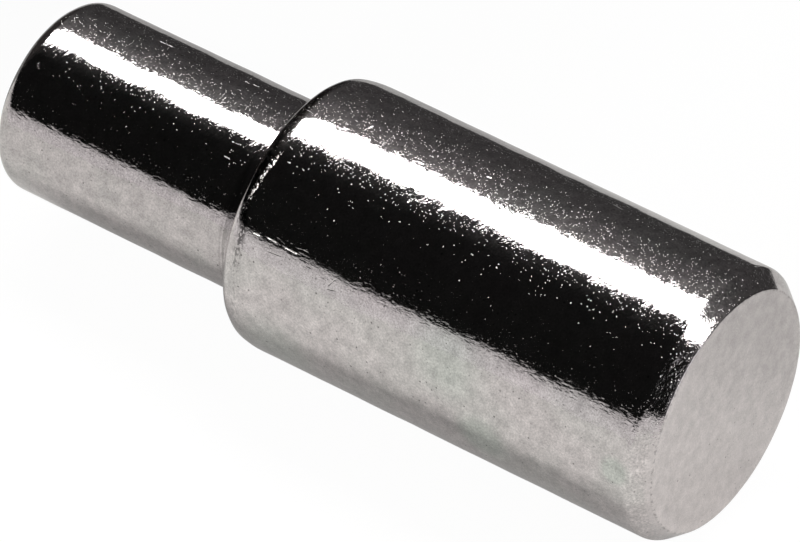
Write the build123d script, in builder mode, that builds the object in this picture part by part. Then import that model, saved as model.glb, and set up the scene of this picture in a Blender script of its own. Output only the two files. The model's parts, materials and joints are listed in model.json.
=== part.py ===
"""Shelf support pin: a one-piece turned steel peg with two diameters.

The pin lies as it is fitted in a cabinet.  Its axis is the X axis.  The thin spigot
points to -X, into the hole of the cabinet side, and the thick barrel points to +X and
carries the shelf.  +Z is up, towards the shelf, and the origin is the centre of the
shoulder, where the barrel seats against the cabinet side.  All sizes are millimetres.
"""

import os

from build123d import *

os.makedirs("parts", exist_ok=True)

# ---------------------------------------------------------------- driving dimensions
barrel_diameter = 7.0          # the thick end, which carries the shelf
barrel_length = 12.2           # shoulder to the flat free end
spigot_diameter = 5.0          # fits the 5 mm system hole of a cabinet side
spigot_length = 7.5            # shoulder to the tip

shoulder_cone_length = 0.5     # shallow lead-in cone behind the shoulder, along the axis
shoulder_cone_depth = 0.1      # shallow lead-in cone, towards the axis
shoulder_cone_blend = 0.5      # softened edge between the cone and the barrel wall
shoulder_edge_radius = 0.28    # rounded outer edge of the shoulder
root_fillet_radius = 0.15      # inside corner between the spigot and the shoulder
tip_edge_radius = 0.45         # rounded lead-in of the spigot
end_chamfer_length = 0.5       # free end chamfer, measured along the axis
end_chamfer_depth = 0.4        # free end chamfer, measured towards the axis
chamfer_wall_blend = 0.25      # softened edge between the barrel wall and the chamfer
chamfer_face_blend = 0.08      # softened edge between the chamfer and the end face

# ---------------------------------------------------------------- worked-out places
barrel_radius = barrel_diameter / 2
spigot_radius = spigot_diameter / 2
shoulder_outer_radius = barrel_radius - shoulder_cone_depth
end_face_radius = barrel_radius - end_chamfer_depth


def corner_at(sketch_face: Face, along: float, out: float) -> Vertex:
    """The profile's corner nearest to a place along the axis and out from it."""
    place = Vector(along, out, 0)
    return min(sketch_face.vertices(), key=lambda corner: (corner.center() - place).length)


# ---------------------------------------------------------------- the turned pin
with BuildPart() as support_pin:
    with BuildSketch(Plane.XY) as half_section:
        with BuildLine():
            Polyline(
                (-spigot_length, 0),
                (-spigot_length, spigot_radius),
                (0, spigot_radius),
                (0, shoulder_outer_radius),
                (shoulder_cone_length, barrel_radius),
                (barrel_length - end_chamfer_length, barrel_radius),
                (barrel_length, end_face_radius),
                (barrel_length, 0),
                close=True,
            )
        make_face()
        fillet(corner_at(half_section.face(), -spigot_length, spigot_radius), tip_edge_radius)
        fillet(corner_at(half_section.face(), 0, spigot_radius), root_fillet_radius)
        fillet(corner_at(half_section.face(), 0, shoulder_outer_radius), shoulder_edge_radius)
        fillet(
            corner_at(half_section.face(), shoulder_cone_length, barrel_radius),
            shoulder_cone_blend,
        )
        fillet(
            corner_at(half_section.face(), barrel_length - end_chamfer_length, barrel_radius),
            chamfer_wall_blend,
        )
        fillet(corner_at(half_section.face(), barrel_length, end_face_radius), chamfer_face_blend)
    revolve(axis=Axis.X)

support_pin.part.label = "support_pin"
export_step(support_pin.part, "parts/support_pin.step")
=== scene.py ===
"""Looks of a nickel plated shelf support pin: its worn surface, its finish, the studio and the camera.

The pin lies along X, with the spigot towards -X and the barrel towards +X. The origin is the centre
of the shoulder, and +Z is up. Sizes in the classes are in millimetres and angles in degrees; meshes,
lamps and the camera are written in metres.
"""

import json
import logging
import math
from dataclasses import dataclass, field
from enum import Enum
from typing import Any

import bpy
import numpy as np
from mathutils import Euler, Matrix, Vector

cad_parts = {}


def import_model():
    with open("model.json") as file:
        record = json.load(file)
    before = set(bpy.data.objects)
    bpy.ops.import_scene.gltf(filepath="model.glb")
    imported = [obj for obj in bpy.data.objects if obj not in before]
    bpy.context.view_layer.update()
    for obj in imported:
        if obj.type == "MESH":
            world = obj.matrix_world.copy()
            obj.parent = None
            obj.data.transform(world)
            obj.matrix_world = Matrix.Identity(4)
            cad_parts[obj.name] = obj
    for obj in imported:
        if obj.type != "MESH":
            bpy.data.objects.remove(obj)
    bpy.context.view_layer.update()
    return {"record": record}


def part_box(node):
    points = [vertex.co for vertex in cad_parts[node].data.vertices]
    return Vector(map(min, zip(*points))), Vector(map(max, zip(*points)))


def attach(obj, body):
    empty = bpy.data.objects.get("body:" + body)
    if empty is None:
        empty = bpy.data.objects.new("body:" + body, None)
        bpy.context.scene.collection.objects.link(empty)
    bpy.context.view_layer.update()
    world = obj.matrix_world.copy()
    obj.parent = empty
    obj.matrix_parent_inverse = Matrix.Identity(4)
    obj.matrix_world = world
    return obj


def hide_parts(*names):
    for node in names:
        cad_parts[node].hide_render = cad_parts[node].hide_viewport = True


LOG = logging.getLogger("shelf_support_pin")
MM = 0.001
NODE = "support_pin"
BODY = "root"
MARK_REACH = 0.25  # How far a mark's ball reaches through the surface, beyond its half length.
STAIN_CORE = 0.8  # The ball's share at which a stain is full.
NOISE_REACH = (0.2, 0.8)  # Where nearly all of the noise lies.
SPAN_FADE_DEG = 8.0  # Over how many degrees a grain fades beyond its span.
WHITE = (1.0, 1.0, 1.0, 1.0)
Grid = np.ndarray
Socket = bpy.types.NodeSocket
Span = tuple[float, float]
Point = tuple[float, float, float]


class Slot(Enum):
    """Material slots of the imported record."""

    NICKEL = "nickel_plate"


class Ray(Enum):
    """Kinds of ray that the studio answers differently, as named on the Light Path node."""

    CAMERA = "Is Camera Ray"
    GLOSSY = "Is Glossy Ray"
    TRANSMISSION = "Is Transmission Ray"


def bare_tree(owner: bpy.types.Material | bpy.types.World) -> bpy.types.NodeTree:
    """Gives a material or a world an empty node tree."""
    owner.use_nodes = True
    owner.node_tree.nodes.clear()
    return owner.node_tree


@dataclass
class NodeTree:
    """A thin writer for a shader node tree.

    Args:
        tree: The tree to write in.
    """

    tree: bpy.types.NodeTree

    def add(self, kind: str, inputs: dict[str | int, Any] | None = None, **settings: Any) -> bpy.types.Node:
        """Adds a node, sets its properties, and fills or links its inputs.

        Args:
            kind: Blender's node type name.
            inputs: Values or output sockets by input name or index.
            settings: Properties of the node, such as operation.

        Returns:
            The new node.
        """
        node = self.tree.nodes.new(kind)
        for name, value in settings.items():
            setattr(node, name, value)
        for name, value in (inputs or {}).items():
            if isinstance(value, Socket):
                self.tree.links.new(value, node.inputs[name])
            else:
                node.inputs[name].default_value = value
        return node

    def math(self, operation: str, *values: Any) -> Socket:
        """Returns the output of a Math node with these operands."""
        return self.add("ShaderNodeMath", dict(enumerate(values)), operation=operation).outputs[0]

    def product(self, *values: Any) -> Socket:
        """Returns the product of the values."""
        total = values[0]
        for value in values[1:]:
            total = self.math("MULTIPLY", total, value)
        return total

    def rest(self, share: Any) -> Socket:
        """Returns what a share leaves of 1."""
        return self.math("SUBTRACT", 1.0, share)

    def ramp(self, value: Any, low: float, high: float, to_low: float = 0.0, to_high: float = 1.0,
             smooth: bool = True) -> Socket:
        """Returns value carried from low..high to to_low..to_high, held at both ends."""
        inputs = {"Value": value, "From Min": low, "From Max": high, "To Min": to_low, "To Max": to_high}
        kind = "SMOOTHSTEP" if smooth else "LINEAR"
        return self.add("ShaderNodeMapRange", inputs, interpolation_type=kind).outputs[0]

    def mixed(self, share: Any, first: Any, second: Any, **settings: Any) -> Socket:
        """Returns two colours mixed by a share."""
        return self.add("ShaderNodeMix", {0: share, 6: first, 7: second}, data_type="RGBA",
                        **settings).outputs[2]

    def parts(self, vector: Socket) -> tuple[Socket, ...]:
        """Returns the three parts of a vector."""
        return tuple(self.add("ShaderNodeSeparateXYZ", {0: vector}).outputs)

    def ray_is(self, *kinds: Ray) -> Socket:
        """Returns 1 for rays of any of these kinds and 0 for the others."""
        path = self.add("ShaderNodeLightPath").outputs
        total = path[kinds[0].value]
        for kind in kinds[1:]:
            total = self.math("MAXIMUM", total, path[kind.value])
        return total


@dataclass
class PinNodes(NodeTree):
    """A writer for the pin's shader, with the places on the pin.

    Args:
        place: Object coordinates in metres.
        along: Place on the axis in millimetres.
        out: Distance from the axis in millimetres.
        turn: Angle round the axis in radians, 0 on top and positive towards -Y.
    """

    place: Socket = field(init=False)
    along: Socket = field(init=False)
    out: Socket = field(init=False)
    turn: Socket = field(init=False)

    def __post_init__(self) -> None:
        """Writes the nodes that the places come from."""
        self.place = self.add("ShaderNodeTexCoord").outputs["Object"]
        self.along, across, up = (self.math("DIVIDE", part, MM) for part in self.parts(self.place))
        squares = self.math("ADD", self.product(across, across), self.product(up, up))
        self.out = self.math("SQRT", squares)
        self.turn = self.math("ARCTAN2", self.product(across, -1.0), up)

    def beyond(self, span: Span) -> Socket:
        """Returns a share that rises from 0 to 1 between two places on the axis."""
        return self.ramp(self.along, *span)

    def round(self, span_deg: Span, first: float = 0.0, last: float = 1.0, smooth: bool = True) -> Socket:
        """Returns a value carried from first to last between two angles round the axis."""
        low, high = (math.radians(angle) for angle in span_deg)
        return self.ramp(self.turn, low, high, first, last, smooth)

    def stretched(self, along: float, around: float, lean_deg: float) -> Socket:
        """Returns the place in millimetres, turned about Z and drawn out along and round the pin."""
        inputs = {"Vector": self.place, "Rotation": (0.0, 0.0, math.radians(lean_deg)),
                  "Scale": (MM * along, MM * around, MM * around)}
        return self.add("ShaderNodeMapping", inputs, vector_type="TEXTURE").outputs[0]

    def ball(self, middle: Point, halves: Point, turn: Point = (0.0, 0.0, 0.0)) -> Socket:
        """Writes a soft ball, stretched and turned.

        Args:
            middle: Place on the axis, angle round it in degrees and distance from it.
            halves: Half lengths in millimetres, before the turn.
            turn: Euler angles in radians.

        Returns:
            A share that falls from 1 in the middle to 0 at the ball's edge.
        """
        along, round_deg, out = middle
        angle = math.radians(round_deg)
        inputs = {"Vector": self.place, "Rotation": turn,
                  "Location": (along * MM, -math.sin(angle) * out * MM, math.cos(angle) * out * MM),
                  "Scale": tuple(half * MM for half in halves)}
        local = self.add("ShaderNodeMapping", inputs, vector_type="TEXTURE").outputs[0]
        return self.add("ShaderNodeTexGradient", {0: local}, gradient_type="SPHERICAL").outputs[1]


@dataclass(frozen=True)
class Corner:
    """A corner of the half outline, before it is rounded.

    Args:
        along: Place on the axis.
        out: Distance from the axis.
        radius: Radius of the rounding, or 0 at the two ends on the axis.
    """

    along: float
    out: float
    radius: float = 0.0

    def point(self) -> Grid:
        """The corner as an array (along, out)."""
        return np.array([self.along, self.out])


@dataclass
class Profile:
    """The half outline as rings: places, distances from the axis, and outward normals.

    Straight runs are divided evenly. A rounded corner is an arc that is tangent to both runs: its
    centre lies on their bisector, and its points turn evenly from one tangent point to the other.

    Args:
        corners: The outline's corners, from the tip to the free end.
        run_step: Distance between rings on a straight run.
        arc_step_deg: Turn between rings on a rounding.
        points: Place and distance from the axis of each ring.
        normals: Outward normal at each ring, as (along, out).
        lengths: Length of the outline up to each ring.
    """

    corners: list[Corner]
    run_step: float
    arc_step_deg: float
    points: Grid = field(init=False)
    normals: Grid = field(init=False)
    lengths: Grid = field(init=False)

    def __post_init__(self) -> None:
        """Works out the rings from the corners."""
        pieces, turns = [], []
        start = self.corners[0].point()
        for before, here, after in zip(self.corners, self.corners[1:], self.corners[2:]):
            arc, normal = self.arc(before.point(), here.point(), after.point(), here.radius)
            run, across = self.run(start, arc[0])
            pieces += [run, arc[:-1]]
            turns += [across, normal[:-1]]
            start = arc[-1]
        run, across = self.run(start, self.corners[-1].point())
        end = self.corners[-1].point()[None]
        self.points = np.concatenate([*pieces, run, end])
        self.normals = np.concatenate([*turns, across, across[-1:]])
        steps = np.linalg.norm(np.diff(self.points, axis=0), axis=1)
        self.lengths = np.concatenate([[0.0], np.cumsum(steps)])

    def run(self, start: Grid, end: Grid) -> tuple[Grid, Grid]:
        """Divides a straight run evenly, its last point left out.

        Args:
            start: First point.
            end: Last point.

        Returns:
            The points, and the outward normal at each, which is the run's direction turned a quarter.
        """
        span = end - start
        length = float(np.hypot(*span))
        count = max(1, round(length / self.run_step))
        share = np.arange(count)[:, None] / count
        normal = np.array([-span[1], span[0]]) / length
        return start + share * span, np.repeat(normal[None], count, axis=0)

    def arc(self, before: Grid, corner: Grid, after: Grid, radius: float) -> tuple[Grid, Grid]:
        """Rounds a corner.

        Args:
            before: The corner before it.
            corner: The corner.
            after: The corner after it.
            radius: Radius of the rounding.

        Returns:
            The arc's points and the outward normal at each.
        """
        back = (before - corner) / np.linalg.norm(before - corner)
        ahead = (after - corner) / np.linalg.norm(after - corner)
        half = 0.5 * math.acos(float(np.clip(back @ ahead, -1.0, 1.0)))
        bisector = (back + ahead) / np.linalg.norm(back + ahead)
        centre = corner + bisector * radius / math.sin(half)
        reach = radius / math.tan(half)
        first = (corner + back * reach - centre) / radius
        last = (corner + ahead * reach - centre) / radius
        turn = math.acos(float(np.clip(first @ last, -1.0, 1.0)))
        count = max(3, math.ceil(math.degrees(turn) / self.arc_step_deg))
        angle = np.linspace(0.0, turn, count + 1)[:, None]
        spoke = (np.sin(turn - angle) * first + np.sin(angle) * last) / math.sin(turn)
        hollow = first @ np.array([ahead[1], -ahead[0]]) > 0.0
        return centre + radius * spoke, -spoke if hollow else spoke


@dataclass
class PinShape:
    """The turned pin with the marks of tumbling and handling.

    Args:
        length_low: Place of the spigot's tip.
        length_high: Place of the free end.
        barrel_radius: Radius of the barrel.
        spigot_radius: Radius of the spigot.
        tip_edge_radius: Rounding of the tip.
        root_fillet_radius: Rounding between spigot and seat.
        shoulder_cone_length: Length over which the barrel comes to its full radius.
        shoulder_cone_depth: Radius that it lacks at the shoulder.
        shoulder_edge_radius: Rounding of the shoulder.
        cone_blend: Rounding between the cone and the wall.
        chamfer_length: Length of the end chamfer.
        chamfer_depth: Depth of the end chamfer.
        chamfer_wall_blend: Rounding between wall and chamfer.
        chamfer_face_blend: Rounding between chamfer and end face.
        run_step: Distance between rings on a straight run.
        arc_step_deg: Turn between rings on a rounding.
        divisions: Columns round the pin.
        wave_seed: Seed of the waviness.
        wave_count: Number of sine waves in it.
        wave_slope: Its typical slope.
        wave_lengths: Shortest and longest wave.
        face_lean: How far the end face leans back at the top.
        barrel_taper: Radius that the barrel loses towards its free end.
        spigot_slack: Radius that the spigot lacks, so that its shift stays inside.
        spigot_shift: Shift of the spigot off the axis, in Y and Z.
        spigot_oval: Swing of the spigot's radius.
        spigot_oval_deg: Angle at which the swing crosses zero.
        calm_share: Share of the spigot's radius inside which the waves fade out.
        lean_reach: Length over which the end face's lean comes in.
        seat_margin: Width of the seat's outer edge that keeps its place.
        seat_depth: How far along the axis a ring still counts as part of the seat.
    """

    length_low: float
    length_high: float
    barrel_radius: float
    spigot_radius: float
    tip_edge_radius: float = 0.45
    root_fillet_radius: float = 0.15
    shoulder_cone_length: float = 0.5
    shoulder_cone_depth: float = 0.10
    shoulder_edge_radius: float = 0.28
    cone_blend: float = 2.2
    chamfer_length: float = 0.5
    chamfer_depth: float = 0.4
    chamfer_wall_blend: float = 0.25
    chamfer_face_blend: float = 0.08
    run_step: float = 0.13
    arc_step_deg: float = 6.0
    divisions: int = 384
    wave_seed: int = 11
    wave_count: int = 120
    wave_slope: float = 0.009
    wave_lengths: Span = (0.55, 2.4)
    face_lean: float = 0.07
    barrel_taper: float = 0.028
    spigot_slack: float = 0.013
    spigot_shift: Span = (-0.0444, -0.0403)
    spigot_oval: float = 0.047
    spigot_oval_deg: float = 43.0
    calm_share: float = 0.98
    lean_reach: float = 1.2
    seat_margin: float = 0.4
    seat_depth: float = 0.01

    def profile(self) -> Profile:
        """The half outline from the tip of the spigot to the middle of the free end."""
        wall_end = self.length_high - self.chamfer_length
        face_edge = self.barrel_radius - self.chamfer_depth
        spigot = self.spigot_radius - self.spigot_slack
        corners = [
            Corner(self.length_low, 0.0),
            Corner(self.length_low, spigot, self.tip_edge_radius),
            Corner(0.0, spigot, self.root_fillet_radius),
            Corner(0.0, self.barrel_radius - self.shoulder_cone_depth, self.shoulder_edge_radius),
            Corner(self.shoulder_cone_length, self.barrel_radius, self.cone_blend),
            Corner(wall_end, self.barrel_radius, self.chamfer_wall_blend),
            Corner(self.length_high, face_edge, self.chamfer_face_blend),
            Corner(self.length_high, 0.0),
        ]
        return Profile(corners, self.run_step, self.arc_step_deg)

    def waves(self, along: Grid, around: Grid) -> Grid:
        """Low waviness left by tumbling: a sum of sine waves, whole in number round the pin.

        Each wave's height is its slope share times its wavelength over two pi.

        Args:
            along: Arc length of each ring.
            around: Angle of each column in radians.

        Returns:
            Height at each ring and column, zero or below.
        """
        rng = np.random.default_rng(self.wave_seed)
        wavelength = rng.uniform(*self.wave_lengths, self.wave_count)
        heading = rng.uniform(0.0, 2.0 * math.pi, self.wave_count)
        phase = rng.uniform(0.0, 2.0 * math.pi, self.wave_count)
        number = 2.0 * math.pi / wavelength
        lobes = np.rint(number * np.sin(heading) * self.barrel_radius)
        pitch = number * np.cos(heading)
        slope = self.wave_slope * math.sqrt(2.0 / self.wave_count)
        height = slope / number
        angle = (pitch[:, None, None] * along[None, :, None] + lobes[:, None, None] * around[None, None, :]
                 + phase[:, None, None])
        total = np.tensordot(height, np.sin(angle), axes=1)
        return total - total.max()

    def mesh(self, name: str) -> bpy.types.Object:
        """Builds the surface of revolution with its relief.

        A point is the ring's place and distance from the axis, turned round the axis by the column's
        angle, and then moved along the outward normal by the relief, which fades out towards the axis by
        the square of the distance. The barrel narrows evenly towards its free end, whose face leans a
        little. The spigot stands slightly off the barrel's axis, and it is a little oval: its radius rises
        and falls twice in one turn, by the sine of twice the angle. Both fade out evenly over the seat.

        Args:
            name: Name of the new object.

        Returns:
            The object, with its place in its mesh.
        """
        profile = self.profile()
        around = np.arange(self.divisions) * 2.0 * math.pi / self.divisions
        place, out = profile.points.T
        lean_x, lean_out = profile.normals.T
        relief = self.waves(profile.lengths, around)
        fade = np.clip(out / (self.calm_share * self.spigot_radius), 0.0, 1.0) ** 2
        relief = relief * fade[:, None]
        side = np.stack([-np.sin(around), np.cos(around)])
        taper = 1.0 - self.barrel_taper / self.barrel_radius * np.clip(place / self.length_high, 0.0, 1.0)
        x = place[:, None] + relief * lean_x[:, None]
        radius = (out * taper)[:, None] + relief * lean_out[:, None]
        near_end = (place - self.length_high + self.lean_reach) / self.lean_reach
        near_end = np.clip(near_end, 0.0, 1.0)[:, None] ** 2
        x = x - 0.5 * self.face_lean * near_end * (1.0 + radius * side[1] / self.barrel_radius)
        seat_edge = self.barrel_radius - self.seat_margin
        seat_width = seat_edge - self.spigot_radius - self.root_fillet_radius
        on_seat = np.clip((seat_edge - out) / seat_width, 0.0, 1.0)
        shift = np.select([place < 0.0, place < self.seat_depth], [1.0, on_seat], 0.0)[:, None]
        lobe = np.sin(2.0 * (around - math.radians(self.spigot_oval_deg)))
        grown = np.clip(out / self.spigot_radius, 0.0, 1.0)[:, None]
        radius = radius + self.spigot_oval * lobe * shift * grown
        y = radius * side[0] + self.spigot_shift[0] * shift
        z = radius * side[1] + self.spigot_shift[1] * shift
        grid = np.stack([x, y, z], axis=-1) * MM
        return closed_surface(name, grid)


def closed_surface(name: str, grid: Grid) -> bpy.types.Object:
    """Makes a mesh from rings whose first and last lie on the axis.

    Row i, column j of the grid is joined to row i + 1 and column j + 1, the last column to the first.
    The first and last rows become one point each, with a fan of triangles.

    Args:
        name: Name of the new object.
        grid: Points, as rings by columns by three, in metres.

    Returns:
        The object.
    """
    rings, columns = grid.shape[:2]
    middle = grid[1:-1].reshape(-1, 3)
    points = np.concatenate([grid[:1, 0], middle, grid[-1:, 0]])
    ring = 1 + np.arange(rings - 2)[:, None] * columns
    here, after = np.arange(columns), (np.arange(columns) + 1) % columns
    first, second = ring[:-1], ring[1:]
    quads = np.stack([first + here, first + after, second + after, second + here], axis=-1).reshape(-1, 4)
    low_fan = np.stack([np.zeros_like(here), 1 + after, 1 + here], axis=-1)
    last = len(points) - 1
    high_fan = np.stack([np.full_like(here, last), ring[-1] + here, ring[-1] + after], axis=-1)
    corners = np.concatenate([quads.ravel(), low_fan.ravel(), high_fan.ravel()])
    totals = np.concatenate([np.full(len(quads), 4), np.full(2 * columns, 3)])
    mesh = bpy.data.meshes.new(name)
    mesh.vertices.add(len(points))
    mesh.vertices.foreach_set("co", points.astype(np.float32).ravel())
    mesh.loops.add(len(corners))
    mesh.loops.foreach_set("vertex_index", corners.astype(np.int32))
    mesh.polygons.add(len(totals))
    mesh.polygons.foreach_set("loop_start", np.concatenate([[0], np.cumsum(totals)[:-1]]).astype(np.int32))
    mesh.polygons.foreach_set("use_smooth", np.ones(len(totals), dtype=bool))
    mesh.update(calc_edges=True)
    mesh.validate()
    piece = bpy.data.objects.new(name, mesh)
    bpy.context.scene.collection.objects.link(piece)
    return piece


@dataclass(frozen=True)
class Pits:
    """A scatter of small round pits, one to a cell at most.

    Args:
        cells: Cells in a millimetre.
        share: Share of the cells that hold a pit.
        radius: Largest radius as a share of a cell.
        depth: Largest depth in millimetres.
        along: Stretch along the pin.
        around: Stretch round the pin.
        lean_deg: Turn of the stretch away from the axis.
        smallest: Smallest size as a share of the largest.
    """

    cells: float
    share: float
    radius: float
    depth: float = 0.0
    along: float = 1.0
    around: float = 1.0
    lean_deg: float = 0.0
    smallest: float = 0.35

    def bowl(self, nodes: PinNodes, wear: Socket | float = 1.0) -> Socket:
        """Depth of the pits as a share: a bowl whose size and depth are drawn by lot for each cell.

        Args:
            nodes: The tree to write in.
            wear: Part of the share that is kept, from 0 to 1.

        Returns:
            The share, 0 outside the pits.
        """
        drawn = nodes.stretched(self.along, self.around, self.lean_deg)
        cell = nodes.add("ShaderNodeTexVoronoi", {"Vector": drawn, "Scale": self.cells})
        lots = nodes.add("ShaderNodeSeparateColor", {0: cell.outputs["Color"]}).outputs
        there = nodes.math("GREATER_THAN", nodes.product(wear, self.share), lots[0])
        size = nodes.ramp(lots[1], 0.0, 1.0, self.smallest, 1.0, smooth=False)
        away = nodes.math("DIVIDE", cell.outputs["Distance"], nodes.product(size, self.radius))
        return nodes.product(nodes.ramp(away, 0.0, 1.0, 1.0, 0.0), there, size)


@dataclass(frozen=True)
class Grain:
    """Fine unevenness of the plate.

    Args:
        scale: Waves in a millimetre.
        height: Height in millimetres, or swing of a share, from the lowest to the highest.
        along: Stretch along the pin.
        around: Stretch round the pin.
        detail: Octaves of finer noise.
        lean_deg: Turn of the stretch away from the axis.
        fineness: Share of each finer octave.
        span_deg: First and last angle round the axis where it lies, or none for all round.
        on_spigot: Share of the height that the spigot has, where the angles are given.
    """

    scale: float
    height: float = 1.0
    along: float = 1.0
    around: float = 1.0
    detail: float = 1.0
    lean_deg: float = 0.0
    fineness: float = 0.5
    span_deg: Span | None = None
    on_spigot: float = 1.0

    def field(self, nodes: PinNodes) -> Socket:
        """The bare noise, about 0 to 1."""
        drawn = nodes.stretched(self.along, self.around, self.lean_deg)
        inputs = {"Vector": drawn, "Scale": self.scale, "Detail": self.detail, "Roughness": self.fineness}
        return nodes.add("ShaderNodeTexNoise", inputs).outputs[0]

    def relief(self, nodes: PinNodes) -> Socket:
        """The noise as a height above and below the surface."""
        return nodes.product(nodes.math("SUBTRACT", self.field(nodes), 0.5), self.height)

    def swing(self, nodes: PinNodes) -> Socket:
        """The noise as a factor that swings about 1 by its height."""
        half = 0.5 * self.height
        return nodes.ramp(self.field(nodes), *NOISE_REACH, 1.0 - half, 1.0 + half, smooth=False)


@dataclass(frozen=True)
class Mark:
    """A handling mark: a small hollow, drawn out to a scratch where it is longer than wide.

    Args:
        along: Place of its middle on the axis.
        round_deg: Place round the axis, 0 on top and positive towards -Y.
        out: Distance of the surface from the axis.
        length: Half length.
        width: Half width.
        depth: Depth at the middle.
        lean_deg: Turn of the long side away from the axis.
    """

    along: float
    round_deg: float
    out: float
    length: float
    width: float
    depth: float
    lean_deg: float = 0.0

    def height(self, nodes: PinNodes) -> Socket:
        """Height of the mark: its depth times a ball's falling off, stretched to its length and width."""
        lean = Euler((0.0, 0.0, math.radians(self.lean_deg))).to_matrix()
        tilt = Euler((math.radians(self.round_deg), 0.0, 0.0)).to_matrix() @ lean
        halves = (self.length, self.width, self.length + MARK_REACH)
        ball = nodes.ball((self.along, self.round_deg, self.out), halves, tuple(tilt.to_euler()))
        return nodes.product(nodes.ramp(ball, 0.0, 1.0), -self.depth)


@dataclass(frozen=True)
class Stain:
    """A soft faint stain.

    Args:
        along: Place of its middle on the axis.
        round_deg: Place round the axis, 0 on top and positive towards -Y.
        out: Distance of the surface from the axis.
        radius: Radius.
        strength: Strength at the middle.
    """

    along: float
    round_deg: float
    out: float
    radius: float
    strength: float

    def share(self, nodes: PinNodes) -> Socket:
        """The stain's share: its strength times a ball's falling off."""
        ball = nodes.ball((self.along, self.round_deg, self.out), (self.radius,) * 3)
        return nodes.product(nodes.ramp(ball, 0.0, STAIN_CORE), self.strength)


GRAINS = (
    Grain(scale=2.6, height=0.0030, detail=0.0),
    Grain(scale=15.0, height=0.0010, along=1.3),
    Grain(scale=18.0, height=0.0048, around=4.5, lean_deg=-18.0, span_deg=(11.0, 44.0)),
    Grain(scale=11.0, height=0.0045, around=2.6, detail=2.0, lean_deg=-32.0, span_deg=(11.0, 40.0)),
    Grain(scale=15.0, height=0.0062, along=2.5, detail=2.0, lean_deg=3.0, span_deg=(52.0, 66.0)),
    Grain(scale=18.0, height=0.0034, along=1.7, detail=1.0, lean_deg=-6.0, span_deg=(-4.0, 8.0)),
    Grain(scale=11.0, height=0.0048, detail=3.0, fineness=0.6, span_deg=(-6.0, 23.0), on_spigot=0.2),
)
PITS = (
    Pits(cells=18.0, share=0.80, radius=0.27, depth=0.0042),
    Pits(cells=12.0, share=0.85, radius=0.235, depth=0.0062),
    Pits(cells=7.0, share=0.85, radius=0.130, depth=0.0090),
    Pits(cells=4.5, share=0.50, radius=0.100, depth=0.0120),
    Pits(cells=4.2, share=0.50, radius=0.055, depth=0.0030, along=6.0, lean_deg=-6.0),
    Pits(cells=6.0, share=0.60, radius=0.080, depth=0.0045, around=2.4, lean_deg=-24.0),
)
MARKS = (
    Mark(along=1.9, round_deg=0.0, out=3.5, length=0.18, width=0.013, depth=0.012, lean_deg=73.0),
    Mark(along=5.2, round_deg=-4.0, out=3.49, length=0.15, width=0.03, depth=0.006, lean_deg=12.0),
    Mark(along=8.0, round_deg=-25.0, out=3.48, length=0.22, width=0.02, depth=0.006, lean_deg=-8.0),
    Mark(along=-4.7, round_deg=-20.0, out=2.40, length=0.30, width=0.018, depth=0.012, lean_deg=3.0),
    Mark(along=-2.3, round_deg=-20.2, out=2.40, length=0.09, width=0.017, depth=0.014, lean_deg=2.0),
    Mark(along=-2.05, round_deg=-21.0, out=2.40, length=0.12, width=0.017, depth=0.014),
    Mark(along=-1.72, round_deg=-20.6, out=2.40, length=0.10, width=0.017, depth=0.014, lean_deg=-3.0),
    Mark(along=-1.2, round_deg=25.6, out=2.44, length=0.16, width=0.010, depth=0.006, lean_deg=4.0),
    Mark(along=-1.22, round_deg=35.2, out=2.465, length=0.10, width=0.010, depth=0.007, lean_deg=-2.0),
    Mark(along=0.85, round_deg=59.4, out=3.5, length=0.16, width=0.015, depth=0.021, lean_deg=1.0),
    Mark(along=1.28, round_deg=58.8, out=3.5, length=0.20, width=0.015, depth=0.021, lean_deg=-2.0),
    Mark(along=1.85, round_deg=59.3, out=3.5, length=0.28, width=0.016, depth=0.023, lean_deg=-1.0),
    Mark(along=2.2, round_deg=57.0, out=3.5, length=0.12, width=0.013, depth=0.004),
    Mark(along=1.45, round_deg=63.4, out=3.5, length=0.24, width=0.015, depth=0.007, lean_deg=5.0),
    Mark(along=3.1, round_deg=64.0, out=3.5, length=0.20, width=0.020, depth=0.008, lean_deg=60.0),
    Mark(along=3.15, round_deg=66.6, out=3.5, length=0.16, width=0.020, depth=0.007, lean_deg=12.0),
)
SPECKS = (
    (Pits(cells=6.0, share=0.60, radius=0.22), 0.70),
    (Pits(cells=5.5, share=0.45, radius=0.22), 1.00),
    (Pits(cells=2.8, share=0.50, radius=0.065, along=4.0, lean_deg=20.0), 0.75),
)
STAINS = (
    Stain(along=6.6, round_deg=72.0, out=3.5, radius=1.4, strength=0.7),
    Stain(along=7.6, round_deg=103.0, out=3.5, radius=1.0, strength=0.9),
    Stain(along=1.6, round_deg=112.0, out=3.5, radius=1.6, strength=0.7),
    Stain(along=11.35, round_deg=85.0, out=3.48, radius=0.5, strength=1.2),
)
CLUSTERS = (
    (Pits(cells=12.0, share=1.0, radius=0.20, depth=0.0062),
     Stain(along=0.86, round_deg=-4.0, out=3.5, radius=0.70, strength=1.2)),
    (Pits(cells=11.0, share=1.0, radius=0.20, depth=0.0070),
     Stain(along=1.85, round_deg=23.6, out=3.5, radius=0.34, strength=1.0)),
    (Pits(cells=11.0, share=1.0, radius=0.20, depth=0.0070),
     Stain(along=2.80, round_deg=24.6, out=3.5, radius=0.30, strength=0.9)),
    (Pits(cells=9.0, share=1.0, radius=0.17, depth=0.0100),
     Stain(along=4.10, round_deg=54.5, out=3.5, radius=0.60, strength=0.8)),
)


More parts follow.
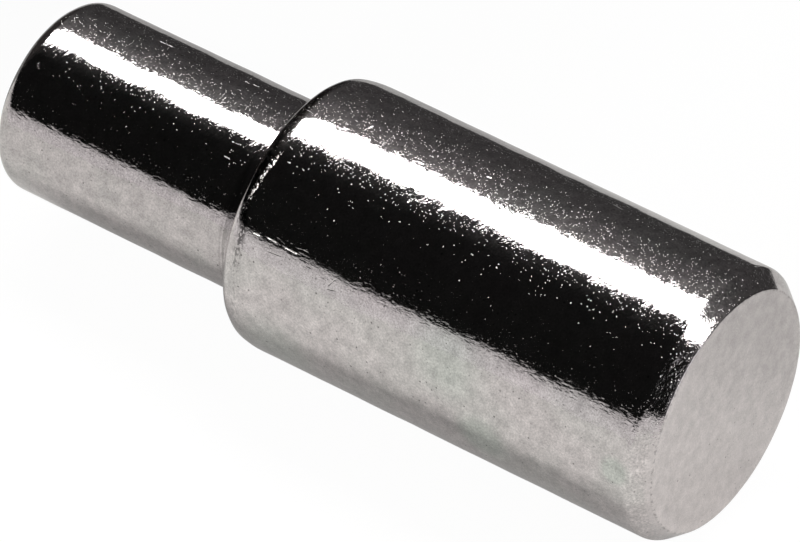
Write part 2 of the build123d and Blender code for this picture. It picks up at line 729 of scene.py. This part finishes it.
@dataclass(frozen=True)
class RootLines:
    """Dark turning lines at the spigot's root.

    Args:
        comes: Places between which they come in.
        goes: Places between which they go out.
        lines: The lines.
        contrast: Noise at which a line begins and is full.
        strength: Shade of a full line.
    """

    comes: Span = (-0.75, -0.55)
    goes: Span = (-0.05, 0.0)
    lines: Grain = Grain(scale=9.0, around=25.0, detail=2.0)
    contrast: Span = (0.42, 0.62)
    strength: float = 0.35

    def shade(self, nodes: PinNodes) -> Socket:
        """Shade of the lines, from 0 to 1."""
        lines = nodes.ramp(self.lines.field(nodes), *self.contrast)
        return nodes.product(lines, nodes.beyond(self.comes), nodes.rest(nodes.beyond(self.goes)),
                             self.strength)


@dataclass(frozen=True)
class Seam:
    """A broken dark line where the shoulder's rounding ends.

    Args:
        along: Its place on the axis before and after it swerves.
        swerve_deg: Angles between which it swerves.
        width: Distance from its middle at which it is full and at which it ends.
        breaks: The noise that breaks it.
        gaps: Noise at which it begins and is full.
        dense_deg: Angles between which its dense start ends.
        dense: What the dense start adds to the noise.
        fade_deg: Angles between which it weakens.
        faded: Share of it that is left then.
        strength: Shade where it is full.
    """

    along: Span = (0.22, 0.45)
    swerve_deg: Span = (48.0, 62.0)
    width: Span = (0.02, 0.19)
    breaks: Grain = Grain(scale=15.0, detail=3.0, around=1.5)
    gaps: Span = (0.49, 0.56)
    dense_deg: Span = (58.0, 68.0)
    dense: float = 0.10
    fade_deg: Span = (56.0, 84.0)
    faded: float = 0.25
    strength: float = 0.85

    def shade(self, nodes: PinNodes) -> Socket:
        """Shade of the line, from 0 to 1."""
        middle = nodes.round(self.swerve_deg, *self.along)
        off = nodes.math("ABSOLUTE", nodes.math("SUBTRACT", nodes.along, middle))
        broken = nodes.math("ADD", self.breaks.field(nodes), nodes.round(self.dense_deg, self.dense, 0.0))
        return nodes.product(nodes.ramp(off, *self.width, 1.0, 0.0), nodes.ramp(broken, *self.gaps),
                             nodes.round(self.fade_deg, 1.0, self.faded), self.strength)


@dataclass(frozen=True)
class FaceRim:
    """The end face's rim: a paler ring and a broken dark line.

    Args:
        out: Distance of the line from the axis.
        width: Distance from the line at which it is full and at which it ends.
        breaks: The noise that breaks it.
        gaps: Noise at which it begins and is full.
        strength: Shade where it is full.
        ring: Distances from the line, negative inwards, between which the ring comes in.
        light: What the ring adds to the tone.
    """

    out: float = 3.07
    width: Span = (0.01, 0.045)
    breaks: Grain = Grain(scale=15.0, detail=3.0, around=1.5)
    gaps: Span = (0.44, 0.62)
    strength: float = 0.40
    ring: Span = (-0.30, -0.12)
    light: float = 0.07

    def shade(self, nodes: PinNodes, face: Socket) -> tuple[Socket, Socket]:
        """Shade of the line and light of the ring, both from 0 to 1, on the given share of the face."""
        off = nodes.math("SUBTRACT", nodes.out, self.out)
        line = nodes.product(nodes.ramp(nodes.math("ABSOLUTE", off), *self.width, 1.0, 0.0),
                             nodes.ramp(self.breaks.field(nodes), *self.gaps, 0.0, self.strength), face)
        return line, nodes.product(face, nodes.ramp(off, *self.ring, 0.0, self.light))


@dataclass(frozen=True)
class Groove:
    """A broken groove between the barrel's wall and the end chamfer.

    Args:
        along: Its place on the axis.
        width: Half width.
        depth: Depth in the middle.
        sway: The noise that it sways by.
        sway_width: Width that it sways over.
        gaps: Noise at which it begins to deepen and is full.
        shallow: Share of the depth that is left between.
    """

    along: float = 11.63
    width: float = 0.035
    depth: float = 0.006
    sway: Grain = Grain(scale=5.0, detail=3.0)
    sway_width: float = 0.10
    gaps: Span = (0.40, 0.55)
    shallow: float = 0.35

    def height(self, nodes: PinNodes) -> Socket:
        """Height of the groove, in millimetres."""
        sway = self.sway.field(nodes)
        line = nodes.math("MULTIPLY_ADD", sway, self.sway_width, self.along - 0.5 * self.sway_width)
        off = nodes.math("ABSOLUTE", nodes.math("SUBTRACT", nodes.along, line))
        return nodes.product(nodes.ramp(off, 0.0, self.width, -self.depth, 0.0),
                             nodes.ramp(sway, *self.gaps, self.shallow, 1.0))


@dataclass(frozen=True)
class Bruise:
    """A bruise on the shoulder's edge: fine broken nicks in a slanting, tilted band.

    Args:
        deg: Angles of its two ends.
        along: Places of its two ends on the axis.
        comes_deg: Angles between which it comes in.
        goes_deg: Angles between which it goes out.
        ragged: The noise that frays the band.
        ragged_width: Width of the fraying.
        width: Half width at which it is full and at which it ends.
        step: Length of a nick round the pin.
        out: Distance of the edge from the axis.
        sway: The noise that makes the nicks uneven.
        sway_steps: By how many nicks it shifts them.
        rise: Slope of a nick at the two ends.
        tilt: Slope of the whole band along the pin.
        breaks: The noise that breaks the band.
        gaps: Noise at which it begins and is full.
    """

    deg: Span = (24.0, 60.0)
    along: Span = (0.51, 0.19)
    comes_deg: Span = (21.6, 35.2)
    goes_deg: Span = (42.0, 60.0)
    ragged: Grain = Grain(scale=11.0, detail=2.0)
    ragged_width: float = 0.16
    width: Span = (0.09, 0.16)
    step: float = 0.036
    out: float = 3.4
    sway: Grain = Grain(scale=20.0, detail=2.0, around=1.6)
    sway_steps: float = 3.0
    rise: Span = (0.22, 1.10)
    tilt: float = 0.12
    breaks: Grain = Grain(scale=17.0, detail=3.0, around=1.6)
    gaps: Span = (0.47, 0.54)

    def height(self, nodes: PinNodes) -> Socket:
        """Writes the nicks.

        Each nick rises evenly round the pin and then drops back, so the height is a saw-tooth of the
        arc length, made uneven by noise.

        Args:
            nodes: The tree to write in.

        Returns:
            The height in millimetres, zero outside the band.
        """
        line = nodes.round(self.deg, *self.along, smooth=False)
        off = nodes.math("SUBTRACT", nodes.along, line)
        wide = nodes.math("MULTIPLY_ADD", self.ragged.field(nodes), self.ragged_width,
                          nodes.math("ABSOLUTE", off))
        band = nodes.product(nodes.ramp(wide, *self.width, 1.0, 0.0), nodes.round(self.comes_deg),
                             nodes.round(self.goes_deg, 1.0, 0.0))
        arc = nodes.math("MULTIPLY_ADD", self.sway.field(nodes), self.sway_steps,
                         nodes.product(nodes.turn, self.out / self.step))
        tooth = nodes.math("SUBTRACT", nodes.math("FRACT", arc), 0.5)
        tooth = nodes.product(tooth, self.step, nodes.round(self.deg, *self.rise, smooth=False))
        gap = nodes.ramp(self.breaks.field(nodes), *self.gaps)
        return nodes.product(nodes.math("MULTIPLY_ADD", off, -self.tilt, tooth), gap, band)


@dataclass(frozen=True)
class Haze:
    """Fine dull grains in the mirror, gathered in patches.

    Args:
        mirror: Roughness between them.
        dull: Roughness in them.
        front_dull: Roughness in them on the front.
        grains: The grains.
        contrast: Noise at which a grain begins and is full.
        patches: The patches.
        patch_contrast: Noise at which a patch begins and is full.
        sparse: Share of the grains that is left between the patches.
    """

    mirror: float = 0.06
    dull: float = 0.30
    front_dull: float = 0.20
    grains: Grain = Grain(scale=21.0, detail=2.0)
    contrast: Span = (0.55, 0.78)
    patches: Grain = Grain(scale=0.9)
    patch_contrast: Span = (0.35, 0.65)
    sparse: float = 0.35

    def front_share(self) -> float:
        """Dulling on the front as a share of that elsewhere."""
        return (self.front_dull - self.mirror) / (self.dull - self.mirror)

    def roughness(self, nodes: PinNodes, wear: Socket) -> Socket:
        """Roughness, with the grains weakened to the given share."""
        grain = nodes.ramp(self.grains.field(nodes), *self.contrast)
        patch = nodes.ramp(self.patches.field(nodes), *self.patch_contrast, self.sparse, 1.0)
        return nodes.ramp(nodes.product(grain, patch, wear), 0.0, 1.0, self.mirror, self.dull, smooth=False)


@dataclass(frozen=True)
class NickelFinish:
    """Bright nickel plate over turned steel, tumbled: grain, pits, scratches and faint stains.

    Args:
        tone: Colour of the plate.
        stained: Share of the colour that a full stain leaves.
        spigot_tone: Share of the tone that the spigot has.
        fine: Fine mottling.
        clouds: Wide mottling.
        chamfer_mottle: Mottling of the chamfer.
        face_fine: Share of the fine mottling that the end face has.
        face_clouds: Share of the wide mottling that the end face has.
        washes: Wide faint stains.
        wash_contrast: Noise at which they begin and are full.
        stains: Single stains.
        specks: Dark specks, each kind with its strength.
        front_deg: Angles between which the wear falls to that of the front.
        front_wear: Share of the pits that the front has.
        grains: Unevenness of the plate.
        patchiness: Patches in which the grains of a given span gather.
        patch_contrast: Noise at which a patch begins and is full.
        patch_least: Share of the grains between the patches.
        pits: Pits all over.
        clusters: Pits gathered in one place.
        marks: Single marks of handling.
        chamfer_grain: Unevenness of the chamfer.
        root_along: Places between which the spigot ends.
        rim_along: Places between which the shoulder's smooth rim ends.
        chamfer_along: Places between which the chamfer begins.
        face_along: Places between which the end face begins.
        haze: Dull grains.
        root_lines: Turning lines at the spigot's root.
        seam: Dark line at the shoulder.
        face_rim: Rim of the end face.
        groove: Groove at the chamfer.
        bruise: Bruise on the shoulder's edge.
    """

    tone: Point = (0.630, 0.594, 0.589)
    stained: Point = (0.91, 1.0, 0.95)
    spigot_tone: float = 0.89
    fine: Grain = Grain(scale=22.0, height=0.50, detail=2.0)
    clouds: Grain = Grain(scale=3.4, height=0.42, detail=4.0)
    chamfer_mottle: Grain = Grain(scale=15.0, height=0.48, detail=3.0)
    face_fine: float = 0.55
    face_clouds: float = 0.70
    washes: Grain = Grain(scale=0.5, height=0.30)
    wash_contrast: Span = (0.42, 0.66)
    stains: tuple[Stain, ...] = STAINS
    specks: tuple[tuple[Pits, float], ...] = SPECKS
    front_deg: Span = (18.0, 28.0)
    front_wear: float = 0.22
    grains: tuple[Grain, ...] = GRAINS
    patchiness: Grain = Grain(scale=3.2)
    patch_contrast: Span = (0.40, 0.62)
    patch_least: float = 0.30
    pits: tuple[Pits, ...] = PITS
    clusters: tuple[tuple[Pits, Stain], ...] = CLUSTERS
    marks: tuple[Mark, ...] = MARKS
    chamfer_grain: Grain = Grain(scale=16.0, height=0.0024, detail=3.0)
    root_along: Span = (-0.10, -0.02)
    rim_along: Span = (0.42, 0.62)
    chamfer_along: Span = (11.55, 11.75)
    face_along: Span = (11.98, 12.08)
    haze: Haze = Haze()
    root_lines: RootLines = RootLines()
    seam: Seam = Seam()
    face_rim: FaceRim = FaceRim()
    groove: Groove = Groove()
    bruise: Bruise = Bruise()

    def material(self, name: str) -> bpy.types.Material:
        """Builds the shader.

        Args:
            name: Name of the new material.

        Returns:
            The material.
        """
        material = bpy.data.materials.new(name)
        nodes = PinNodes(bare_tree(material))
        bump = nodes.add("ShaderNodeBump", {"Strength": 1.0, "Distance": MM, "Height": self.relief(nodes)})
        wear = self.wear(nodes, self.haze.front_share())
        shader = nodes.add("ShaderNodeBsdfPrincipled", {
            "Base Color": self.colour(nodes), "Metallic": 1.0,
            "Roughness": self.haze.roughness(nodes, wear), "Normal": bump.outputs[0]})
        nodes.add("ShaderNodeOutputMaterial", {"Surface": shader.outputs[0]})
        return material

    def wear(self, nodes: PinNodes, front: float) -> Socket:
        """A share that is 1 on the top, the back and the chamfer and falls to its value on the front."""
        falling = nodes.round(self.front_deg, 1.0, front)
        return nodes.math("MAXIMUM", falling, nodes.beyond(self.chamfer_along))

    def colour(self, nodes: PinNodes) -> Socket:
        """Tone of the plate: mottled, faintly stained towards green, with fine dark specks and lines.

        Args:
            nodes: The tree to write in.

        Returns:
            The colour.
        """
        face = nodes.beyond(self.face_along)
        stain = nodes.ramp(self.washes.field(nodes), *self.wash_contrast, 0.0, self.washes.height)
        for spot in self.stains:
            stain = nodes.math("ADD", stain, spot.share(nodes))
        stained = tuple(part * share for part, share in zip(self.tone, self.stained))
        tint = nodes.mixed(nodes.product(stain, nodes.rest(face)), (*self.tone, 1.0), (*stained, 1.0))
        shade = self.shade(nodes, face)
        grey = nodes.add("ShaderNodeCombineColor", {0: shade, 1: shade, 2: shade}).outputs[0]
        return nodes.mixed(1.0, tint, grey, blend_type="MULTIPLY")

    def shade(self, nodes: PinNodes, face: Socket) -> Socket:
        """Brightness of the tone: mottling, specks and lines.

        Args:
            nodes: The tree to write in.
            face: Share that is 1 on the end face.

        Returns:
            The factor, about 1.
        """
        parts = []
        for grain, share in ((self.fine, self.face_fine), (self.clouds, self.face_clouds)):
            kept = nodes.ramp(face, 0.0, 1.0, 1.0, share)
            parts.append(self.damped(nodes, grain, kept))
        chamfer = nodes.math("SUBTRACT", nodes.beyond(self.chamfer_along), face)
        parts.append(self.damped(nodes, self.chamfer_mottle, chamfer))
        parts.append(nodes.ramp(nodes.beyond(self.root_along), 0.0, 1.0, self.spigot_tone, 1.0))
        for pits, strength in self.specks:
            parts.append(nodes.math("MULTIPLY_ADD", pits.bowl(nodes), -strength, 1.0))
        line, ring = self.face_rim.shade(nodes, face)
        dark = nodes.math("MAXIMUM", self.root_lines.shade(nodes), self.seam.shade(nodes))
        dark = nodes.math("MAXIMUM", dark, line)
        parts.append(nodes.math("SUBTRACT", nodes.math("ADD", ring, 1.0), dark))
        return nodes.product(*parts)

    def damped(self, nodes: PinNodes, grain: Grain, kept: Socket) -> Socket:
        """A grain's factor about 1, of whose swing only a share is kept."""
        swing = nodes.math("SUBTRACT", grain.swing(nodes), 1.0)
        return nodes.math("MULTIPLY_ADD", swing, kept, 1.0)

    def relief(self, nodes: PinNodes) -> Socket:
        """Height of grain, pits, marks and the bruised edge.

        Args:
            nodes: The tree to write in.

        Returns:
            The height in millimetres.
        """
        patch = nodes.ramp(self.patchiness.field(nodes), *self.patch_contrast, self.patch_least, 1.0)
        barrel = nodes.beyond(self.root_along)
        rim = nodes.product(barrel, nodes.rest(nodes.beyond(self.rim_along)))
        patch = nodes.product(patch, nodes.rest(rim))
        parts = [self.bruise.height(nodes), self.groove.height(nodes)]
        for grain in self.grains:
            height = grain.relief(nodes)
            if grain.span_deg is not None:
                first, last = grain.span_deg
                height = nodes.product(
                    height, patch, nodes.round((first - SPAN_FADE_DEG, first)),
                    nodes.round((last, last + SPAN_FADE_DEG), 1.0, 0.0),
                    nodes.ramp(barrel, 0.0, 1.0, grain.on_spigot, 1.0))
            parts.append(height)
        wear = self.wear(nodes, self.front_wear)
        for pits, share in [(pits, wear) for pits in self.pits] + [
                (pits, spot.share(nodes)) for pits, spot in self.clusters]:
            parts.append(nodes.product(pits.bowl(nodes, share), -pits.depth))
        parts += [mark.height(nodes) for mark in self.marks]
        parts.append(nodes.product(self.chamfer_grain.relief(nodes), nodes.beyond(self.chamfer_along)))
        total = parts[0]
        for part in parts[1:]:
            total = nodes.math("ADD", total, part)
        return total


@dataclass(frozen=True)
class Studio:
    """A small pale board in a dark room, under one long soft lamp, as for a bright metal part.

    Args:
        floor_tone: Colour of the board.
        floor_back: Place of its back edge in Y.
        floor_front: Place of its front edge in Y.
        floor_reach: Half its length along X.
        floor_white: Share of plain white in it for the camera.
        floor_glow: Share of plain white in it for the metal.
        white_strength: Strength of the plain white.
        painted_shade_back: Places in Y between which painted shade darkens the board towards the back.
        painted_shade_along: Places in X between which that painted shade lightens.
        painted_shade_levels: The board's brightness under the painted shade at those places.
        painted_far_shade_along: Places in X beyond the spigot between which the painted shade lightens
            further.
        painted_far_shade_level: Share of brightness that the painted shade leaves beyond them.
        painted_shade_strip_near: Places in Y between which the strip of painted shade behind the pin begins.
        painted_shade_strip_far: Places in Y between which that strip ends.
        painted_shade_strip_along: Places in X between which that strip ends.
        painted_shade_strip_level: Share of brightness that the painted shade leaves in the strip.
        lamp_distance: Distance of the lamp from the pin's axis.
        lamp_low_deg: Angle of its back edge, 0 straight up and positive towards -Y.
        lamp_high_deg: Angle of its front edge.
        lamp_span: Its two ends in X.
        lamp_radiance: Radiance that lights the board.
        lamp_mirror_radiance: Radiance that the metal shows.
        lamp_mirror_share: Size and distance of the lamp that the metal shows, as a share of the other's.
        room_level: Light of the room on the board.
        room_levels: Brightness of the room in the metal by angle round X, as for the lamp.
        room_tint: Share of red, green and blue in that brightness.
        open_turn_deg: Angle from which the room is open also behind the spigot's end.
        open_along: Part of the direction in X between which it opens elsewhere.
        shut_tone: Colour of the room where it isn't open.
        end_along: Part of the direction in X between which the pale end of the room comes in.
        end_tone: Colour of that end.
    """

    floor_tone: Point = (0.83, 0.815, 0.79)
    floor_back: float = 21.0
    floor_front: float = -45.0
    floor_reach: float = 420.0
    floor_white: float = 0.94
    floor_glow: float = 0.2
    white_strength: float = 1.03
    painted_shade_back: Span = (0.0, 8.0)
    painted_shade_along: Span = (-4.0, 5.0)
    painted_shade_levels: Span = (0.36, 0.64)
    painted_far_shade_along: Span = (-24.0, -19.0)
    painted_far_shade_level: float = 0.15
    painted_shade_strip_near: Span = (0.5, 1.5)
    painted_shade_strip_far: Span = (6.0, 7.5)
    painted_shade_strip_along: Span = (-3.5, -2.5)
    painted_shade_strip_level: float = 0.22
    lamp_distance: float = 250.0
    lamp_low_deg: float = -28.6
    lamp_high_deg: float = -9.4
    lamp_span: Span = (-210.0, 330.0)
    lamp_radiance: float = 4.3
    lamp_mirror_radiance: float = 14.0
    lamp_mirror_share: float = 0.98
    room_level: float = 0.35
    room_levels: tuple[Span, ...] = (
        (-180.0, 0.05), (-90.0, 0.05), (-70.0, 0.062), (-50.0, 0.11), (-34.0, 0.20), (-20.0, 0.20),
        (-5.0, 0.03), (10.0, 0.008), (78.6, 0.007), (79.4, 0.52), (88.0, 0.76), (180.0, 0.79))
    room_tint: Point = (1.0, 0.97, 0.98)
    open_turn_deg: float = 2.0
    open_along: Span = (-0.66, -0.60)
    shut_tone: Point = (0.040, 0.037, 0.036)
    end_along: Span = (0.84, 0.93)
    end_tone: Point = (0.935, 0.92, 0.955)

    def build(self, floor_level: float) -> None:
        """Sets the floor, the lamp and the room.

        Args:
            floor_level: Height of the floor in millimetres.
        """
        self.floor(floor_level)
        self.lamp()
        self.room()

    def floor(self, level: float) -> None:
        """A board under the pin with painted shade: pale and lit for the metal, white with a faint shadow
        for the camera.
        """
        low, high = -self.floor_reach, self.floor_reach
        corners = np.array([[low, self.floor_front, level], [high, self.floor_front, level],
                            [high, self.floor_back, level], [low, self.floor_back, level]]) * MM
        mesh = bpy.data.meshes.new("floor")
        mesh.from_pydata(corners.tolist(), [], [(0, 1, 2, 3)])
        board = bpy.data.objects.new("floor", mesh)
        bpy.context.scene.collection.objects.link(board)
        material = bpy.data.materials.new("pale_board")
        nodes = NodeTree(bare_tree(material))
        share = nodes.product(nodes.ray_is(Ray.CAMERA, Ray.TRANSMISSION), self.floor_white)
        share = nodes.math("MULTIPLY_ADD", nodes.ray_is(Ray.GLOSSY), self.floor_glow, share)
        # The board's tone is scaled by painted shade.
        tone = nodes.add("ShaderNodeVectorMath", {0: self.floor_tone, "Scale": self.painted_floor_shade(nodes)},
                         operation="SCALE")
        paint_and_shade = nodes.add("ShaderNodeBsdfDiffuse", {"Color": tone.outputs[0]})
        glow = nodes.add("ShaderNodeEmission", {"Color": WHITE, "Strength": self.white_strength})
        blend = nodes.add("ShaderNodeMixShader", {0: share, 1: paint_and_shade.outputs[0], 2: glow.outputs[0]})
        nodes.add("ShaderNodeOutputMaterial", {"Surface": blend.outputs[0]})
        mesh.materials.append(material)

    def painted_floor_shade(self, nodes: NodeTree) -> Socket:
        """Painted shade of the board as a share: darker towards the back, beyond the spigot and in a strip
        behind it.
        """
        place = nodes.parts(nodes.add("ShaderNodeTexCoord").outputs["Object"])
        along, back = (nodes.math("DIVIDE", part, MM) for part in place[:2])
        # Painted shade: the board darkens towards the back and beyond the spigot.
        painted_dim = nodes.product(nodes.ramp(along, *self.painted_shade_along, *self.painted_shade_levels),
                            nodes.ramp(along, *self.painted_far_shade_along, self.painted_far_shade_level, 1.0))
        painted_dim = nodes.add("ShaderNodeMix", {0: nodes.ramp(back, *self.painted_shade_back), 2: 1.0, 3: painted_dim}).outputs[0]
        # Painted shade: a darker strip on the board just behind the spigot.
        dark = nodes.product(nodes.ramp(back, *self.painted_shade_strip_near), nodes.ramp(back, *self.painted_shade_strip_far, 1.0, 0.0),
                             nodes.ramp(along, *self.painted_shade_strip_along, 1.0, 0.0))
        return nodes.product(painted_dim, nodes.ramp(dark, 0.0, 1.0, 1.0, self.painted_shade_strip_level))

    def lamp(self) -> None:
        """A long soft lamp above and a little behind the pin, along it, and its bright mirror image."""
        middle = math.radians(0.5 * (self.lamp_low_deg + self.lamp_high_deg))
        half = math.radians(0.5 * (self.lamp_high_deg - self.lamp_low_deg))
        width = 2.0 * self.lamp_distance * math.tan(half)
        low, high = self.lamp_span
        out = Vector((0.0, -math.sin(middle), math.cos(middle)))
        for name, radiance, mirror, nearer in (
                ("soft_lamp", self.lamp_radiance, False, 1.0),
                ("lamp_in_mirror", self.lamp_mirror_radiance, True, self.lamp_mirror_share)):
            data = bpy.data.lights.new(name, "AREA")
            data.shape = "RECTANGLE"
            data.size = (high - low) * nearer * MM
            data.size_y = width * nearer * MM
            data.energy = radiance * math.pi * data.size * data.size_y
            lamp = bpy.data.objects.new(name, data)
            lamp.location = (out * self.lamp_distance + Vector((0.5 * (low + high), 0.0, 0.0))) * nearer * MM
            lamp.rotation_mode = "QUATERNION"
            lamp.rotation_quaternion = out.to_track_quat("Z", "Y")
            lamp.visible_camera = False
            lamp.visible_glossy = mirror
            lamp.visible_diffuse = not mirror
            bpy.context.scene.collection.objects.link(lamp)

    def room(self) -> None:
        """The world: white to the camera, plain and even to the floor, and a dark room to the metal."""
        world = bpy.data.worlds.new("studio")
        bpy.context.scene.world = world
        nodes = NodeTree(bare_tree(world))
        world.cycles.sampling_method = "NONE"
        even = nodes.add("ShaderNodeBackground", {"Color": WHITE, "Strength": self.room_level})
        glossy = nodes.add("ShaderNodeBackground", {"Color": self.mirrored_room(nodes), "Strength": 1.0})
        white = nodes.add("ShaderNodeBackground", {"Color": WHITE, "Strength": 1.0})
        first = nodes.add("ShaderNodeMixShader", {0: nodes.ray_is(Ray.GLOSSY), 1: even.outputs[0],
                                                  2: glossy.outputs[0]})
        last = nodes.add("ShaderNodeMixShader", {0: nodes.ray_is(Ray.CAMERA, Ray.TRANSMISSION),
                                                 1: first.outputs[0], 2: white.outputs[0]})
        nodes.add("ShaderNodeOutputWorld", {"Surface": last.outputs[0]})

    def mirrored_room(self, nodes: NodeTree) -> Socket:
        """Colour of the room in the metal: levels by angle round X, shut off behind, pale towards +X."""
        along, across, up = nodes.parts(nodes.add("ShaderNodeTexCoord").outputs["Generated"])
        turn = nodes.math("ARCTAN2", nodes.product(across, -1.0), up)
        ramp = nodes.add("ShaderNodeValToRGB", {0: nodes.ramp(turn, -math.pi, math.pi, smooth=False)})
        stops = ramp.color_ramp.elements
        while len(stops) < len(self.room_levels):
            stops.new(0.5)
        for stop, (angle, level) in zip(stops, self.room_levels):
            stop.position = (angle + 180.0) / 360.0
            stop.color = (*(level * part for part in self.room_tint), 1.0)
        pale = nodes.math("GREATER_THAN", turn, math.radians(self.open_turn_deg))
        opened = nodes.math("MAXIMUM", pale, nodes.ramp(along, *self.open_along))
        room = nodes.mixed(opened, (*self.shut_tone, 1.0), ramp.outputs[0])
        return nodes.mixed(nodes.ramp(along, *self.end_along), room, (*self.end_tone, 1.0))


@dataclass(frozen=True)
class CameraPlace:
    """The camera, in front of the pin and above it, turned towards the free end.

    Args:
        azimuth_deg: Turn about Z, 0 in front of the pin and positive towards the free end.
        elevation_deg: Height above the level.
        distance: Distance from the point that it looks at.
        aim: That point.
        lens: Focal length.
        nearest: Nearest distance that it shows.
    """

    azimuth_deg: float = 35.938
    elevation_deg: float = 41.835
    distance: float = 179.75
    aim: Point = (2.423, 0.531, -1.109)
    lens: float = 338.94
    nearest: float = 10.0

    def build(self) -> None:
        """Makes the camera and hands it to the scene."""
        azimuth, elevation = math.radians(self.azimuth_deg), math.radians(self.elevation_deg)
        back = Vector((math.sin(azimuth) * math.cos(elevation), -math.cos(azimuth) * math.cos(elevation),
                       math.sin(elevation)))
        data = bpy.data.cameras.new("camera")
        data.lens = self.lens
        data.clip_start = self.nearest * MM
        camera = bpy.data.objects.new("camera", data)
        camera.location = (Vector(self.aim) + back * self.distance) * MM
        camera.rotation_mode = "QUATERNION"
        camera.rotation_quaternion = back.to_track_quat("Z", "Y")
        bpy.context.scene.collection.objects.link(camera)
        bpy.context.scene.camera = camera


@dataclass
class ShelfSupportPin:
    """The whole pin: one turned piece in one finish.

    Args:
        shape: Its form.
        finish: Its plate.
    """

    shape: PinShape
    finish: NickelFinish

    def build(self) -> bpy.types.Object:
        """Makes the piece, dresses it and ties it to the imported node."""
        pin = self.shape.mesh("nickel_pin")
        pin.data.materials.append(self.finish.material("nickel_plate"))
        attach(pin, BODY)
        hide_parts(NODE)
        return pin


def main() -> None:
    """Builds the pin, the studio and the camera."""
    logging.basicConfig(level=logging.INFO, format="%(message)s")
    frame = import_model()
    low, high = (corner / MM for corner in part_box(NODE))
    mounts = {mount["name"]: mount for mount in frame["record"]["mounts"]}
    shape = PinShape(length_low=low.x, length_high=high.x, barrel_radius=mounts["barrel"]["dims"]["r_mm"],
                     spigot_radius=mounts["spigot"]["dims"]["r_mm"])
    bpy.context.scene.view_settings.view_transform = "Standard"
    pin = ShelfSupportPin(shape, NickelFinish()).build()
    LOG.info("%s: %d faces", pin.name, len(pin.data.polygons))
    Studio().build(floor_level=low.z)
    CameraPlace().build()


if __name__ == "__main__":
    main()
